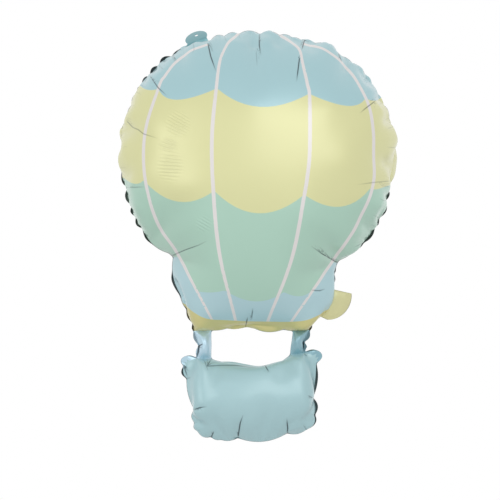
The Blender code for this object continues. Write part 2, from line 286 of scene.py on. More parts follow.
def along(curve, shares):
    """Points at these shares of the curve's length."""
    curve = table(curve)
    steps = np.hypot(*np.diff(curve, axis=0).T)
    run = np.concatenate([[0], np.cumsum(steps)]) / steps.sum()
    return np.stack([np.interp(shares, run, curve[:, 0]), np.interp(shares, run, curve[:, 1])], axis=1)


def dome_chain():
    full, flat, lobe = [], [], []
    for (a, deep_a, crest), (b, deep_b, _) in zip(DOME_LOBES, DOME_LOBES[1:]):
        span = (dome(b) - dome(a)).length
        count = max(2, round(span * GATHER / SEAM_STEP))
        for i in range(count):
            u = i / count
            share = a + (b - a) * u
            point = dome(share)
            tangent = dome(min(share + 0.002, 1)) - dome(max(share - 0.002, 0))
            normal = Vector((tangent.y, -tangent.x)).normalized()
            out = -deep_a + (deep_a - deep_b) * u + (crest + (deep_a + deep_b) / 2) * 4 * u * (1 - u)
            full.append(tuple(point + normal * (out - spill(share)) * MM))
            flat.append(tuple(gathered(point)))
            lobe.append((u, span))
    return full, flat, lobe


def lobed_chain(rows, cut, sway=1.0):
    full, shares, lobe = [], [], []
    corners = [Vector(row[:2]) for row in rows]
    spans = [(b - a).length for a, b in zip(corners, corners[1:])]
    curve = spline(cut)
    cut_length = sum((b - a).length for a, b in zip(curve, curve[1:]))
    done = 0.0
    for row, a, b, span in zip(rows, corners, corners[1:], spans):
        part = span / sum(spans)
        count = max(2, round(cut_length * part / SEAM_STEP))
        normal = Vector(((b - a).y, (a - b).x)).normalized()
        if isinstance(row[2], list):
            full += [tuple(p) for p in along(spline([a] + row[2] + [b]), np.arange(count) / count)]
        else:
            full += [tuple(a.lerp(b, i / count) + normal * row[2] * MM * 4 * i / count * (1 - i / count))
                     for i in range(count)]
        for i in range(count):
            u = i / count
            shares.append(done + part * u)
            lobe.append((u, span * sway))
        done += part
    return full, [tuple(p) for p in along(curve, shares)], lobe


neck_left = NECK_LEFT + [LEG_LEFT_OUTER[0]]
neck_right = [(*LEG_RIGHT_OUTER[-1][:2], 0.5)] + NECK_RIGHT
OUTSIDE = [dome_chain(),
           lobed_chain(neck_left, flipped(neck_cut())),
           lobed_chain(LEG_LEFT_OUTER, flipped(leg_out), sway=0.3),
           lobed_chain(BASKET_EDGE, basket_cut, sway=0.6),
           lobed_chain(LEG_RIGHT_OUTER, leg_out[::-1], sway=0.3),
           lobed_chain(neck_right, neck_cut()[::-1], sway=0.1)]
WINDOW = [lobed_chain(SKIRT_EDGE, [(-LEG_INSIDE, LEG_TOP), (0, LEG_TOP), (LEG_INSIDE, LEG_TOP)]),
          lobed_chain(LEG_RIGHT_INNER, leg_in, sway=0.3),
          lobed_chain(BASKET_TOP, [(LEG_INSIDE, LEG_FOOT), (0, LEG_FOOT), (-LEG_INSIDE, LEG_FOOT)], sway=0.3),
          lobed_chain(LEG_LEFT_INNER, flipped(leg_in[::-1]), sway=0.3)]


def lip_shows(x, z):
    return any(math.hypot(x - at_x * MM, z - at_z * MM) < radius * MM for at_x, at_z, radius, _, _ in LIP_SHOWS)


def seam_ring(chains):
    full, flat, swell, side = [], [], [], 1
    for points, cut, lobes in chains:
        for (x, z), place, (u, span) in zip(points, cut, lobes):
            if u == 0:
                side = 1 if lip_shows(x, z) else -side
            swell.append(math.sin(math.pi * u))
            full.append((x, side * min(SWAY_LIMIT, SWAY * span) * swell[-1], z))
            flat.append(place)
    return np.array(full), np.array(flat), np.array(swell)


outer_full, outer_flat, outer_swell = seam_ring(OUTSIDE)
window_full, window_flat, window_swell = seam_ring(WINDOW)
seam_full = np.vstack([outer_full, window_full])
seam_flat = np.vstack([outer_flat, window_flat])
seam_swell = np.concatenate([outer_swell, window_swell])
seam_valleys = seam_swell == 0
print("seam points:", len(outer_flat), "outside and", len(window_flat), "round the window")

# %% [markdown]
# ## Two sheets of film
# The sheet is filled with an even triangle mesh, finer near the seam where the creases will be. Lines across
# the legs are kept as mesh edges, so that the finished film can be cut there. A copy a hair behind it makes the
# second sheet, and both share the points of the seam, as the weld does.

# %% Triangles for one sheet
FINE_BAND = 0.050


def inside(ring, points):
    """Which points lie inside the ring."""
    hit = np.zeros(len(points), bool)
    for (xa, za), (xb, zb) in zip(ring, np.roll(ring, 1, axis=0)):
        if za != zb:
            crosses = (za > points[:, 1]) != (zb > points[:, 1])
            hit ^= crosses & (points[:, 0] < (xb - xa) * (points[:, 1] - za) / (zb - za) + xa)
    return hit


def seam_gaps(x, z):
    return np.hypot(seam_flat[:, 0] - x, seam_flat[:, 1] - z)


def seam_distance(points):
    return np.array([np.min(seam_gaps(x, z)) for x, z in points])


def hex_grid(step):
    low, high = outer_flat.min(0), outer_flat.max(0)
    rows = np.arange(low[1], high[1], step * 0.866)
    columns = np.arange(low[0], high[0], step)
    grid = np.array([(x + step / 2 * (k % 2), z) for k, z in enumerate(rows) for x in columns])
    grid = grid[inside(outer_flat, grid) & ~inside(window_flat, grid)]
    return grid, seam_distance(grid)


fine_grid, fine_gap = hex_grid(SEAM_STEP * 1.08)
open_grid, open_gap = hex_grid(OPEN_STEP)
fine_grid = fine_grid[(fine_gap > SEAM_STEP * 0.7) & (fine_gap < FINE_BAND)]
open_grid = open_grid[open_gap >= FINE_BAND + OPEN_STEP * 0.3]
outer_count, window_count = len(outer_flat), len(window_flat)
ring_edges = ring_pairs(outer_count) + ring_pairs(window_count, outer_count)
leg_edges = [tuple(int(np.argmin(seam_gaps(side * across, level))) for across in (LEG_INSIDE, LEG_OUTSIDE))
             for side in (-1, 1) for level in (LEG_TOP, LEG_FOOT)]
corners = [Vector(p) for p in np.vstack([seam_flat, fine_grid, open_grid])]
sheet, _, sheet_faces, sources, _, _ = delaunay_2d_cdt(corners, ring_edges + leg_edges, [], 0, 1e-7)
sheet, sheet_faces = table(sheet), table(sheet_faces)
centres = sheet[sheet_faces].mean(axis=1)
sheet_faces = sheet_faces[inside(outer_flat, centres) & ~inside(window_flat, centres)]
ab = sheet[sheet_faces[:, 1]] - sheet[sheet_faces[:, 0]]
ac = sheet[sheet_faces[:, 2]] - sheet[sheet_faces[:, 0]]
turned = ab[:, 0] * ac[:, 1] - ab[:, 1] * ac[:, 0] < 0
sheet_faces[turned] = sheet_faces[turned][:, [0, 2, 1]]
source = np.array([s[0] if s else -1 for s in sources])
seam_id = np.where((source >= 0) & (source < len(seam_flat)), source, -1)
print("one sheet:", len(sheet), "points,", len(sheet_faces), "triangles")

# %% Both sheets as one bag
FIRST_GAP = 0.0008
count = len(sheet)
on_seam = seam_id >= 0
twin = np.arange(count) + count
twin[on_seam] = np.arange(count)[on_seam]
front_points = np.stack([sheet[:, 0], np.where(on_seam, 0, -FIRST_GAP), sheet[:, 1]], axis=1)
back_points = front_points * (1, -1, 1)
bag_faces = np.vstack([sheet_faces, twin[sheet_faces][:, [0, 2, 1]]])
bag_points = np.vstack([front_points, back_points])
used = np.unique(bag_faces)
bag_index = np.full(2 * count, -1)
bag_index[used] = np.arange(len(used))
bag_mesh = bpy.data.meshes.new("bag")
bag_mesh.from_pydata(bag_points[used].tolist(), [], bag_index[bag_faces].tolist())
bag = new_object("bag", bag_mesh)
print("bag:", len(bag_mesh.vertices), "points")

# %% [markdown]
# ## Blow it up
# Blender's Cloth with Pressure does the filling. The seam is pinned and a shape key carries it, over the first
# frames, from the flat pattern to the scalloped outline, so the sheets billow while the edge draws in, as on
# the real balloon. Gravity is off, since the film weighs almost nothing.

# %% Fill the bag
FILL_FRAMES = 26
GATHER_FRAMES = 16
pinned = bag.vertex_groups.new(name="seam")
bag.shape_key_add(name="flat")
carried = bag.shape_key_add(name="gathered")
for i in np.flatnonzero(on_seam):
    pinned.add([int(bag_index[i])], 1.0, "REPLACE")
    carried.data[int(bag_index[i])].co = seam_full[seam_id[i]]
carried.value = 0.0
carried.keyframe_insert("value", frame=1)
carried.value = 1.0
carried.keyframe_insert("value", frame=GATHER_FRAMES)
cloth = bag.modifiers.new("Cloth", "CLOTH")
film = cloth.settings
film.quality = 8
film.mass = 0.2
film.air_damping = 2
film.tension_stiffness = 80
film.compression_stiffness = 8
film.shear_stiffness = 5
film.bending_stiffness = 0.002
film.use_pressure = True
film.uniform_pressure_force = 300
film.vertex_group_mass = "seam"
film.effector_weights.gravity = 0
cloth.collision_settings.use_collision = False
cloth.point_cache.frame_end = FILL_FRAMES
for step in range(1, FILL_FRAMES + 1):
    bpy.context.scene.frame_set(step)
filled = bag.evaluated_get(bpy.context.evaluated_depsgraph_get()).to_mesh()
place = read(filled.vertices, "co", 3)
bpy.data.objects.remove(bag)
bpy.context.scene.frame_set(1)
print("filled depth in mm:", [round(v / MM, 1) for v in (place[:, 1].min(), place[:, 1].max())])

# %% [markdown]
# ## Tighten the film
# A full foil balloon is taut and very smooth between its creases. Cloth leaves soft dents there, so the points
# are evened out, more the further they are from the seam. Each pass moves a point towards its neighbours and
# then a little back, which takes the dents away and keeps the volume.

# %% Even out the dents
flat_place = bag_points[used][:, [0, 2]]
bag_tris = bag_index[bag_faces]
links = np.vstack([bag_tris[:, [0, 1]], bag_tris[:, [1, 2]], bag_tris[:, [2, 0]]])
links = np.unique(np.sort(links, axis=1), axis=0)
one, other = np.concatenate([links[:, 0], links[:, 1]]), np.concatenate([links[:, 1], links[:, 0]])
neighbours = np.bincount(one, minlength=len(place))
EVEN_START = 0.003
EVEN_REACH, LEG_EVEN_REACH = 0.026, 0.014
EVEN_PASSES, EVEN_BACK = 40, 1.02
reach = np.where(flat_place[:, 1] > LEG_TOP, EVEN_REACH, LEG_EVEN_REACH)
start = np.where(flat_place[:, 1] > LEG_TOP, EVEN_START, EVEN_START * 0.5)
gap = seam_distance(flat_place)
weight = np.clip((gap - start) / (reach - start), 0, 1)[:, None] * 0.6


def evened(place, weight, passes, back):
    for _ in range(passes):
        for amount in (1.0, -back):
            mean = np.stack([np.bincount(one, place[other, k]) for k in range(3)], axis=1) / neighbours[:, None]
            place = place + amount * weight * (mean - place)
    return place


place = evened(place, weight, EVEN_PASSES, EVEN_BACK)
print("evened", int((weight > 0).sum()), "of", len(place), "points")

# %% [markdown]
# Where the legs leave the neck and the basket, the real film runs on smoothly, and only the ink changes. The
# cloth is too full there, and also at the notches of the neck and at the basket's shoulders, so these places get
# some passes of plain smoothing, which draws them flatter.

# %% Flatter joins at the legs
JOIN_REACH = 0.016
JOIN_HALF = 0.020
JOIN_PASSES = 14
SPOT_REACH = 0.030
SHOULDERS = [Vector((0.098, -0.378)), Vector((-0.098, -0.378))]
off_leg = np.clip(np.abs(np.abs(flat_place[:, 0]) - (LEG_INSIDE + LEG_OUTSIDE) / 2) - JOIN_HALF, 0, 1)
to_join = np.minimum(np.abs(flat_place[:, 1] - LEG_TOP), np.abs(flat_place[:, 1] - LEG_FOOT))
join = np.exp(-(to_join / JOIN_REACH) ** 2 - (off_leg / JOIN_REACH) ** 2)
for spot in [gathered(dome(0)), gathered(dome(1))] + SHOULDERS:
    to_spot = np.hypot(flat_place[:, 0] - spot.x, flat_place[:, 1] - spot.y)
    join = np.maximum(join, np.exp(-(to_spot / SPOT_REACH) ** 2))
place = evened(place, join[:, None] * (gap > EVEN_START)[:, None] * 0.5, JOIN_PASSES, 0.0)
print("points near a join:", int((join > 0.5).sum()))

# %% [markdown]
# ## The sealed edge
# Outside the weld a flat lip of both films is left, about 4 mm wide. It is too narrow to billow, so it folds
# back a little and shows from the front only as thin dark crescents; their darkness is painted shade in the lip's
# material. It is built as two more rows of points outside the seam on each sheet, which meet at the lip's cut edge.

# %% Lip directions
LIP_WIDTH = 0.0042
LEG_LIP_WIDTH = 0.0028
LIP_BULGE = 0.0003
LIP_MIDDLE = 0.45
LIP_LEAN = 82


def ring_normals(ring):
    """Outward direction across a closed ring of seam points, taken from a smoothed run of it."""
    ahead = sum(np.roll(ring, -k, axis=0) for k in range(1, 5))
    behind = sum(np.roll(ring, k, axis=0) for k in range(1, 5))
    run = ahead - behind
    normal = np.stack([run[:, 2], np.zeros(len(ring)), -run[:, 0]], axis=1)
    return normal / np.linalg.norm(normal, axis=1)[:, None]


lip_out = np.vstack([ring_normals(outer_full), ring_normals(window_full)])
lip_flat = lip_out[:, [0, 2]]
lip_lean = np.full(len(seam_full), math.radians(LIP_LEAN))
lip_width = np.where(seam_flat[:, 1] > LEG_TOP, LIP_WIDTH, LEG_LIP_WIDTH)
for x, z, radius, degrees, shown in LIP_SHOWS:
    away = np.hypot(seam_full[:, 0] - x * MM, seam_full[:, 2] - z * MM)
    near = np.clip(1.5 - away / (radius * MM), 0, 1)
    near = near ** 2 * (3 - 2 * near) * np.concatenate([np.ones(outer_count), np.zeros(window_count)])
    lip_lean += (math.radians(degrees) - lip_lean) * near
    lip_width += (shown * MM * (0.3 + 0.7 * seam_swell) - lip_width) * near
lip_way = lip_out * np.cos(lip_lean)[:, None] + np.array([0, 1, 0]) * np.sin(lip_lean)[:, None]
lip_face = lip_out * np.sin(lip_lean)[:, None] - np.array([0, 1, 0]) * np.cos(lip_lean)[:, None]
lip_width = lip_width[:, None]
print("lip width in mm:", round(LIP_WIDTH / MM, 1))

# %% One sheet with its lip
ENVELOPE, LEFT_LEG, RIGHT_LEG, BASKET = range(4)


def zone_of(flat):
    zone = np.full(len(flat), ENVELOPE)
    zone[(flat[:, 1] < LEG_TOP) & (flat[:, 0] < 0)] = LEFT_LEG
    zone[(flat[:, 1] < LEG_TOP) & (flat[:, 0] >= 0)] = RIGHT_LEG
    zone[flat[:, 1] < LEG_FOOT] = BASKET
    return zone


seam_in_bag = np.zeros(len(seam_flat), int)
seam_in_bag[seam_id[on_seam]] = bag_index[np.flatnonzero(on_seam)]


def film_sheet(name, tris, side):
    """One sheet as an object: its film, and the lip outside the seam. side is -1 in front, 1 behind."""
    ids = np.unique(tris)
    local = np.full(len(place), -1)
    local[ids] = np.arange(len(ids))
    seam_local = local[seam_in_bag]
    seam_place = place[seam_in_bag]
    toward = lip_face * (-side)
    middle = seam_place + lip_way * lip_width * LIP_MIDDLE + toward * LIP_BULGE
    edge = seam_place + lip_way * lip_width
    points = np.vstack([place[ids], middle, edge])
    flat = np.vstack([flat_place[ids]] + [seam_flat + lip_flat * lip_width * part for part in (LIP_MIDDLE, 1.0)])
    first, second = len(ids), len(ids) + len(seam_flat)
    quads = []
    for a, b in ring_edges:
        for low, high in (((seam_local[a], seam_local[b]), (first + a, first + b)),
                          ((first + a, first + b), (second + a, second + b))):
            quad = (low[0], high[0], high[1], low[1])
            quads.append(quad if side < 0 else quad[::-1])
    mesh = bpy.data.meshes.new(name)
    mesh.from_pydata(points.tolist(), [], local[tris].tolist() + quads)
    centre = np.array([flat[list(p.vertices)].mean(axis=0) for p in mesh.polygons])
    store(mesh, "zone", zone_of(centre), "INT", "FACE")
    mesh.polygons.foreach_set("material_index", [0] * len(tris) + [1] * len(quads))
    weld = {tuple(sorted((seam_local[a], seam_local[b]))) for a, b in ring_edges}
    store(mesh, "crease_edge", [float(tuple(sorted(e.vertices)) in weld) for e in mesh.edges], domain="EDGE")
    corner = np.zeros(len(points))
    corner[seam_local[seam_valleys]] = 1.0
    store(mesh, "crease_vert", corner)
    obj = new_object(name, mesh)
    finer = obj.modifiers.new("Subdivision", "SUBSURF")
    finer.levels = finer.render_levels = 1
    apply_modifier(obj, finer)
    return obj


half = len(bag_tris) // 2
front_film = film_sheet("front_film", bag_tris[:half], -1)
back_film = film_sheet("back_film", bag_tris[half:], 1)
print("front film:", len(front_film.data.polygons), "faces")

# %% [markdown]
# ## Creases
# Where the seam has more length than its scallops can hold, the film folds into a thin sharp crease that runs
# inwards from a valley. Each crease is a short chain of points on the front, with its strength. Both films are
# pressed in along it, and the signed distance to the line is kept on the mesh for the material, which draws
# the finest part of the fold as a bump and darkens the colour along it as painted shade.

# %% Where the creases run
CREASES = [
    (((-81, 159), (-77, 143), (-68, 120)), 1.3), (((-133, 143), (-127, 134)), 0.8),
    (((-164, 109), (-153, 94), (-139, 82)), 0.9), (((-196, 42), (-188, 34), (-180, 31), (-172, 25), (-150, 19)), 0.6),
    (((-197, -55), (-180, -54), (-166, -53)), 0.5), (((-124, -153), (-105, -144), (-85, -136), (-72, -129)), 0.8),
    (((-6, 178), (-6, 162), (-3, 147)), 1.2), (((-10, 150), (-8, 130)), 0.3), (((60, 170), (57, 157)), 1.4),
    (((54, 144), (51, 110)), 1.3), (((112, 152), (117, 141)), 0.9), (((166, 84), (156, 76), (146, 67)), 0.8),
    (((190, -32), (167, -35), (144, -39)), 0.4), (((157, -124), (144, -132)), 0.4),
    (((119, -154), (97, -142), (80, -131)), 1.0), (((110, -149), (92, -131)), 0.5),
    (((88, -197), (96, -197), (104, -194)), 0.8),
    (((-3, -239), (-2, -226)), 0.9), (((-11, -250), (-9, -239)), 1.1)]
BASKET_CREASES = [
    (((-92, -95), (-83, -92), (-72, -91)), 1.0), (((-67, -136), (-63, -127)), 1.3),
    (((-28, -139), (-24, -117), (-19, -104)), 1.5), (((45, -134), (46, -126), (45, -112)), 1.5),
    (((84, -83), (77, -79)), 0.8), (((16, -34), (21, -43)), 0.9), (((74, -130), (69, -122)), 0.7),
    (((-70.5, -33), (-73.5, -24), (-77, -20)), 0.5), (((-71, -31.5), (-63.5, -21)), 0.9),
    (((-69, -31), (-48, -30.5), (-27, -31.5), (-4, -35), (8, -36)), 0.75),
    (((-103, -30), (-100, -33)), 1.0), (((-104, -31), (-99.5, -47)), 0.9), (((-101, -49), (-95, -47.5)), 0.5),
    (((-81, -1), (-75, 2)), 1.3), (((-81.5, -2), (-84.5, -19)), 0.9), (((73, 0), (73, -16)), 1.0),
    (((73, -16.5), (78.5, -21.5)), 0.7)]
VIEW_CENTRE = Vector((-0.0091, 0, -0.1405))
VIEW_DISTANCE = 7.0
AZIMUTH = math.radians(-2)
EYE = VIEW_CENTRE + Vector((math.sin(AZIMUTH), -math.cos(AZIMUTH), 0)) * VIEW_DISTANCE


def seen_from_front(mesh):
    """The mesh's points, and where each one seems to lie on the seam's plane, seen from the camera's place.

    Points of the back film are taken as if they were in front, so that both films match along the seam."""
    co = read(mesh.vertices, "co", 3)
    depth = np.abs(co[:, 1])
    share = (depth / (-EYE.y - depth))[:, None]
    flat = co[:, [0, 2]]
    return co, flat + (flat - np.array((EYE.x, EYE.z))) * share


def crease_chains():
    chains = [([Vector((x * MM, z * MM)) for x, z in line], strength) for line, strength in CREASES]
    for line, strength in BASKET_CREASES:
        rows = basket_rows([(x, z, 0) for x, z in line])
        chains.append(([Vector(row[:2]) for row in rows], strength))
    return chains


def chain_distance(points, chain):
    """Signed distance of each point to a chain of segments, and how far along the chain it lies, 0 to 1."""
    chain = table(chain)
    lengths = np.hypot(*np.diff(chain, axis=0).T)
    best = np.full(len(points), 1e3)
    share = np.zeros(len(points))
    done = 0.0
    for a, b, length in zip(chain, chain[1:], lengths):
        if length == 0:
            continue
        way = (b - a) / length
        offset = points - a
        run = np.clip(offset @ way, 0, length)
        away = offset - run[:, None] * way
        size = np.hypot(away[:, 0], away[:, 1])
        side = np.where(offset[:, 0] * way[1] - offset[:, 1] * way[0] > 0, 1, -1)
        closer = size < np.abs(best)
        best = np.where(closer, side * size, best)
        share = np.where(closer, (done + run) / lengths.sum(), share)
        done += length
    return best, share


SHORTEST_SPAN, LONGEST_SPAN = 0.008, 0.03


def seam_pinches():
    """A short faint crease that runs inwards from the valleys of the seam, but not on the neck or the legs."""
    chains = []
    spots = np.flatnonzero(seam_valleys)
    for number, (spot, following) in enumerate(zip(spots, np.roll(spots, -1))):
        start = Vector(seam_full[spot][[0, 2]])
        span = min((Vector(seam_full[following][[0, 2]]) - start).length, LONGEST_SPAN)
        chance = math.sin(number * 12.9) * 0.5 + 0.5
        inward = -Vector(lip_flat[spot]) * (0.003 + (0.07 + 0.20 * chance) * span)
        turned = Vector((-inward.y, inward.x)) * (math.sin(number * 7.3) * 0.35)
        on_neck = LEG_FOOT - 0.001 < seam_flat[spot, 1] < gathered(dome(0)).y - 0.001
        if not on_neck and span > SHORTEST_SPAN:
            line = [start - inward * 0.3, start + inward * 0.5, start + inward + turned]
            chains.append((line, 0.06 + 0.2 * chance))
    return chains


FOLD_DEPTH = 0.0016
FOLD_WIDTH = 0.0040
FOLD_FADE = 0.0035


def press_creases(obj, chains, side):
    mesh = obj.data
    co, seen = seen_from_front(mesh)
    line = np.full(len(co), 1.0)
    strength = np.zeros(len(co))
    push = np.zeros(len(co))
    for chain, amount in chains:
        distance, share = chain_distance(seen, chain)
        fade = amount * np.clip((1 - share) * 2.2, 0, 1) * np.clip(1.8 - np.abs(distance) / FOLD_FADE, 0, 1)
        nearer = np.abs(distance) < np.abs(line)
        line = np.where(nearer, distance, line)
        strength = np.where(nearer, fade, strength)
        push = np.maximum(push, np.minimum(fade, 1) * np.exp(-np.abs(distance) / FOLD_WIDTH))
    co[:, 1] -= side * push * FOLD_DEPTH
    mesh.vertices.foreach_set("co", co.ravel())
    store(mesh, "crease_line", line / MM)
    store(mesh, "crease_depth", strength)
    mesh.update()


creases = crease_chains() + seam_pinches()
press_creases(front_film, creases, -1)
press_creases(back_film, creases, 1)
print("creases:", len(creases))

# %% [markdown]
# Beside the creases the left of the front film carries patches of very fine, even ripples, where it is squeezed
# along the seam. They are too fine for the mesh, so two numbers are kept for the material: where in the wave a
# point lies, and how strong the ripple is there. The ridges fan out, which the first number follows.

# %% Ripple patches
RIPPLE_LENGTH = 5.1
RIPPLE_PATCHES = [(-122, 41, 21, 22, 0.9), (-135, 10, 17, 14, 1.0), (-131, -20, 20, 25, 0.9), (-79, -106, 13, 15, 0.7)]


def ripples(obj, most):
    mesh = obj.data
    x, z = seen_from_front(mesh)[1].T / MM
    slant = np.interp(z, [-130, -90, -30, -5, 20, 50], [0.55, 0.55, 0.0, 0.08, 0.36, 0.55])
    phase = (z + (x + 130) * slant) / RIPPLE_LENGTH
    amount = np.zeros(len(x))
    for at_x, at_z, wide, tall, strength in RIPPLE_PATCHES:
        away = ((x - at_x) / wide) ** 2 + ((z - at_z) / tall) ** 2
        amount = np.maximum(amount, most * strength * np.clip(1.2 - away, 0, 1) ** 1.5)
    store(mesh, "ripple_phase", phase)
    store(mesh, "ripple_amount", amount)


ripples(front_film, 1.0)
ripples(back_film, 0.0)
print("ripple patches:", len(RIPPLE_PATCHES))

# %% [markdown]
# ## The print
# The pattern is printed before the sheets are welded, and is drawn so that it looks right on the full balloon
# from the front. The lines below are places seen from there, in millimetres, and they are laid straight onto
# both films. Every point of the mesh gets its distance to the printed edges. The material only has to ask on
# which side of an edge it is, so the edges stay crisp at any size.

# %% Printed lines as seen from the front
STRIPES = [
    [(-84, 159), (-109, 148), (-129, 131), (-143, 111), (-151, 96), (-169, 30), (-168, -34), (-148, -104),
     (-119, -145), (-62, -244)],
    [(-40, 175), (-54, 159), (-63, 137), (-67, 98), (-71, 27), (-67, -47), (-54, -146), (-27, -244)],
    [(24, 178), (43, 166), (54, 156), (59, 137), (67, 107), (71, 87), (74, 11), (72, -26), (68, -58),
     (53, -150), (21, -244)],
    [(61, 166), (87, 160), (114, 143), (132, 124), (147, 101), (159, 76), (166, 43), (168, 15), (169, -37),
     (152, -87), (128, -130), (56, -243)]]
STRIPE_HALF_WIDTHS = (0.0023, 0.0028, 0.0028, 0.0023)
STRIPE_TOPS = (0.001, 0.03, 0.03, 0.001)
CROWN = [(-181, 97), (-168, 90), (-152, 92), (-124, 77), (-66, 96), (-2, 71), (70, 93), (126, 77), (153, 89),
         (166, 86), (178, 92)]
MIDDLE = [(-199, -41), (-181, -49), (-169, -43), (-117, -73), (-65, -55), (1, -86), (68, -56), (121, -72),
          (164, -44), (176, -44), (191, -38)]
LOWER = [(-88, -203), (-67, -205), (-44, -201), (2, -216), (43, -200), (67, -206), (86, -195)]
HEM = [(-105, -222), (-99, -226), (-88, -235), (-68, -244), (-42, -245), (9, -245), (67, -243), (94, -233),
       (113, -220)]


DRAWN_OUT = 0.03


def drawn_out(points, start=DRAWN_OUT):
    """A smooth line through the points, in metres, made longer at both ends."""
    curve = spline([(x * MM, z * MM) for x, z in points])
    curve.insert(0, curve[0] + (curve[0] - curve[4]).normalized() * start)
    curve.append(curve[-1] + (curve[-1] - curve[-5]).normalized() * DRAWN_OUT)
    return curve


def scalloped(points):
    """Arcs that hang between every other point and pass through the ones between."""
    points = np.array(points) * MM
    arcs = [(points[0][0] - 0.05, points[0][1])]
    for i in range(0, len(points) - 2, 2):
        a, low, b = points[i:i + 3]
        pull = 2 * low - (a + b) / 2
        arcs += [tuple(a * (1 - u) ** 2 + pull * 2 * u * (1 - u) + b * u * u) for u in np.linspace(0, 1, 13)]
    arcs.append((points[-1][0] + 0.05, points[-1][1]))
    return np.array(arcs)


stripes = [drawn_out(line, start) for line, start in zip(STRIPES, STRIPE_TOPS)]
crown, middle, lower = scalloped(CROWN), scalloped(MIDDLE), scalloped(LOWER)
hem = table(drawn_out(HEM))
print("stripes:", len(stripes))

# %% Distances to the print on every point
PRINT_PASSES = 40
TAPER_HEIGHTS, TAPER = [-0.22, -0.12, 0.06, 0.16], [0.8, 1.0, 1.0, 0.72]


def laid_on(mesh, seen):
    """The seen places evened out over the film, so that the print runs on smoothly over the small puckers."""
    start, end = read(mesh.edges, "vertices", 2, np.int32).T
    here, there = np.concatenate([start, end]), np.concatenate([end, start])
    around = np.bincount(here, minlength=len(seen))[:, None]
    free = np.ones((len(seen), 1))
    for face in mesh.polygons:
        if face.material_index == 1:
            free[list(face.vertices)] = 0
    for _ in range(PRINT_PASSES):
        mean = np.stack([np.bincount(here, seen[there, k], minlength=len(seen)) for k in (0, 1)], axis=1) / around
        seen = seen + 0.5 * free * (mean - seen)
    return seen


def print_fields(obj):
    mesh = obj.data
    seen = laid_on(mesh, seen_from_front(mesh)[1])
    stripe = np.full(len(seen), 1.0)
    for line, half_width in zip(stripes, STRIPE_HALF_WIDTHS):
        half_width *= np.interp(seen[:, 1], TAPER_HEIGHTS, TAPER)
        stripe = np.minimum(stripe, np.abs(chain_distance(seen, line)[0]) - half_width)
    left, right = chain_distance(seen, stripes[0])[0], chain_distance(seen, stripes[3])[0]
    outside = np.maximum(left, -right)

    def below(edge):
        return np.interp(seen[:, 0], edge[:, 0], edge[:, 1]) - seen[:, 1]
    sky = np.maximum(below(lower), np.minimum(outside, NOTCH_Z - seen[:, 1]))
    for name, value in (("stripe", -stripe), ("crown", -below(crown)), ("middle", below(middle)),
                        ("sky", sky), ("hem", below(hem))):
        store(mesh, "print_" + name, value / MM)


print_fields(front_film)
print_fields(back_film)
print("print fields:", [a.name for a in front_film.data.attributes if a.name.startswith("print_")])

# %% [markdown]
# ## Materials
# The ink lies over metallised film with a satin finish, so the base is partly metallic and fairly rough: broad
# soft highlights, no mirror. A shared node group adds what every piece of this film has, a faint cloudiness in
# the shine, very fine ripples and the fold lines, which darken the colour as painted shade.

# %% Node helpers


def new_group(name, inputs, outputs):
    group = bpy.data.node_groups.new(name, "ShaderNodeTree")
    for word, kind, value in inputs:
        socket = group.interface.new_socket(word, in_out="INPUT", socket_type=kind)
        if value is not None:
            socket.default_value = value
    for word, kind in outputs:
        group.interface.new_socket(word, in_out="OUTPUT", socket_type=kind)
    return group, group.nodes.new("NodeGroupInput"), group.nodes.new("NodeGroupOutput")


def plug(tree, value, socket):
    """Sets a socket to a colour or a number, or else links it."""
    if isinstance(value, tuple):
        socket.default_value = (*value, 1)
    elif isinstance(value, (int, float)):
        socket.default_value = value
    else:
        tree.links.new(value, socket)


def attribute(tree, name):
    node = tree.nodes.new("ShaderNodeAttribute")
    node.attribute_name = name
    return node.outputs["Fac"]


def math_node(tree, operation, *values):
    node = tree.nodes.new("ShaderNodeMath")
    node.operation = operation
    for socket, value in zip(node.inputs, values):
        plug(tree, value, socket)
    return node.outputs[0]


def noise(tree, place, scale, detail):
    node = tree.nodes.new("ShaderNodeTexNoise")
    for word, value in (("Scale", scale), ("Detail", detail), ("Vector", place)):
        plug(tree, value, node.inputs[word])
    return node.outputs["Fac"]


def ramp(tree, value, low, high, to_low=0.0, to_high=1.0):
    node = tree.nodes.new("ShaderNodeMapRange")
    node.interpolation_type = "SMOOTHSTEP"
    tree.links.new(value, node.inputs["Value"])
    for word, number in (("From Min", low), ("From Max", high), ("To Min", to_low), ("To Max", to_high)):
        node.inputs[word].default_value = number
    return node.outputs["Result"]


def mix_colour(tree, factor, first, second, blend="MIX"):
    node = tree.nodes.new("ShaderNodeMix")
    node.data_type = "RGBA"
    node.blend_type = blend
    for word, value in (("Factor", factor), ("A", first), ("B", second)):
        plug(tree, value, node.inputs[word])
    return node.outputs["Result"]


# %% Node group: the feel of the film
FOLD_LINE_MM = 0.8
RIPPLE_HEIGHT = 0.52
group, feed, give = new_group(
    "satin_film", [("Roughness", "NodeSocketFloat", 0.42), ("Cloudiness", "NodeSocketFloat", 0.06),
                   ("Ripple", "NodeSocketFloat", 0.1)],
    [("Roughness", "NodeSocketFloat"), ("Height", "NodeSocketFloat"), ("Fold", "NodeSocketFloat")])


def times(first, second):
    return math_node(group, "MULTIPLY", first, second)


